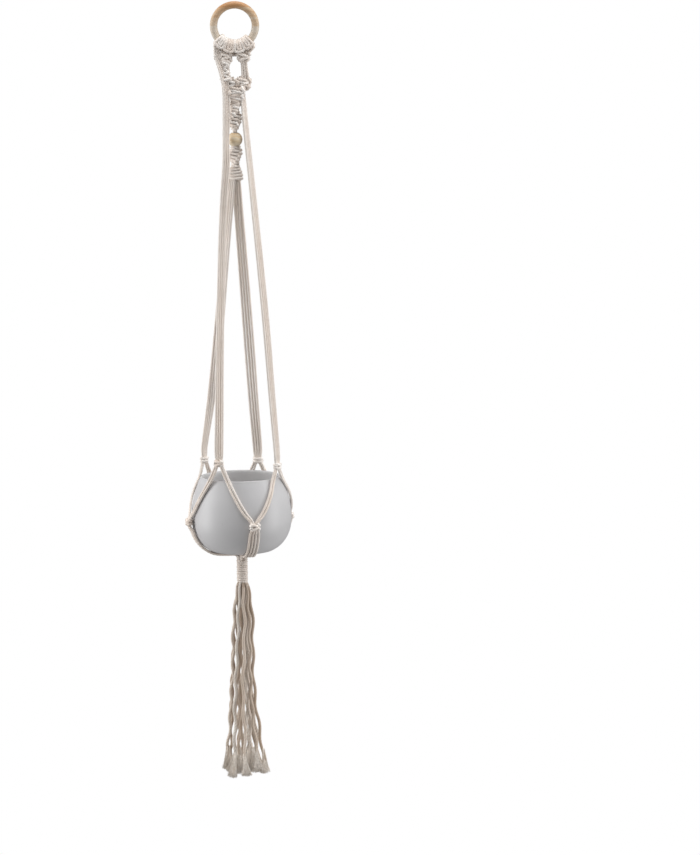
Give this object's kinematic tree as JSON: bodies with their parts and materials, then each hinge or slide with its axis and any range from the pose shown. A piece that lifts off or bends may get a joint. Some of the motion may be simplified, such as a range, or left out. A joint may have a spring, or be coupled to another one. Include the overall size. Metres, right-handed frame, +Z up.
{
  "type": "hanging macrame planter",
  "caption": "Knotted cotton cord hanger on a wooden ring, with a threaded bead, a bowl-shaped ceramic pot in its sling and a tassel below.",
  "frame": {"origin": "the hanging point: the inside top of the wooden ring, where a hook bears", "axes": "+Z up, +X to the right seen from the front, +Y towards the back"},
  "size_m": [0.1431, 0.1472, 1.0381],
  "materials": {
    "cotton_cord": "matte twisted cotton",
    "ring_wood": "turned and lightly sealed beech",
    "bead_wood": "turned, unsealed",
    "pot_ceramic": "satin white glaze"
  },
  "bodies": {
    "ring": {"hanging_ring": "ring_wood", "larks_head_1": "cotton_cord", "larks_head_2": "cotton_cord", "larks_head_3": "cotton_cord", "larks_head_4": "cotton_cord"},
    "hanger": {"shoulder_knot_left": "cotton_cord", "shoulder_knot_right": "cotton_cord", "shoulder_sennit_left": "cotton_cord", "shoulder_cords_right": "cotton_cord", "yoke_knot_1": "cotton_cord", "yoke_knot_2": "cotton_cord", "yoke_knot_3": "cotton_cord", "yoke_knot_4": "cotton_cord", "spiral_sennit_upper": "cotton_cord", "bead_core_cords": "cotton_cord", "spiral_sennit_lower": "cotton_cord", "leg_front_left": "cotton_cord", "leg_front_right": "cotton_cord", "leg_back_right": "cotton_cord", "leg_back_left": "cotton_cord", "rim_knot_front_left": "cotton_cord", "rim_knot_front_right": "cotton_cord", "rim_knot_back_right": "cotton_cord", "rim_knot_back_left": "cotton_cord", "sling_arms_front_left": "cotton_cord", "sling_arms_front_right": "cotton_cord", "sling_arms_back_right": "cotton_cord", "sling_arms_back_left": "cotton_cord", "belly_knot_front": "cotton_cord", "belly_knot_right": "cotton_cord", "belly_knot_back": "cotton_cord", "belly_knot_left": "cotton_cord", "base_cords_front": "cotton_cord", "base_cords_right": "cotton_cord", "base_cords_back": "cotton_cord", "base_cords_left": "cotton_cord", "base_gather": "cotton_cord"},
    "bead": {"wooden_bead": "bead_wood"},
    "pot": {"pot": "pot_ceramic"},
    "wrap": {"gathering_wrap": "cotton_cord", "wrap_core_cords": "cotton_cord"},
    "tassel": {"tassel_strand_01": "cotton_cord", "tassel_strand_02": "cotton_cord", "tassel_strand_03": "cotton_cord", "tassel_strand_04": "cotton_cord", "tassel_strand_05": "cotton_cord", "tassel_strand_06": "cotton_cord", "tassel_strand_07": "cotton_cord", "tassel_strand_08": "cotton_cord", "tassel_strand_09": "cotton_cord", "tassel_strand_10": "cotton_cord", "tassel_strand_11": "cotton_cord", "tassel_strand_12": "cotton_cord", "tassel_strand_13": "cotton_cord", "tassel_strand_14": "cotton_cord", "tassel_strand_15": "cotton_cord", "tassel_strand_16": "cotton_cord"}
  },
  "joints": [
    {"name": "hanger_swing", "type": "hinge", "parent": "ring", "child": "hanger", "pos_m": [0, 0, -0.059], "axis": [1, 0, 0], "range_deg": [-30, 30]},
    {"name": "bead_spin", "type": "hinge", "parent": "hanger", "child": "bead", "pos_m": [-0.0015, 0, -0.176], "axis": [0, 0, 1], "continuous": true},
    {"name": "pot_turn", "type": "hinge", "parent": "hanger", "child": "pot", "pos_m": [0, 0, -0.69], "axis": [0, 0, 1], "continuous": true},
    {"name": "wrap_swing", "type": "hinge", "parent": "hanger", "child": "wrap", "pos_m": [0, 0, -0.7425], "axis": [1, 0, 0], "range_deg": [-30, 30]},
    {"name": "tassel_sway", "type": "hinge", "parent": "wrap", "child": "tassel", "pos_m": [0, 0, -0.78], "axis": [0, 1, 0], "range_deg": [-30, 30]}
  ]
}
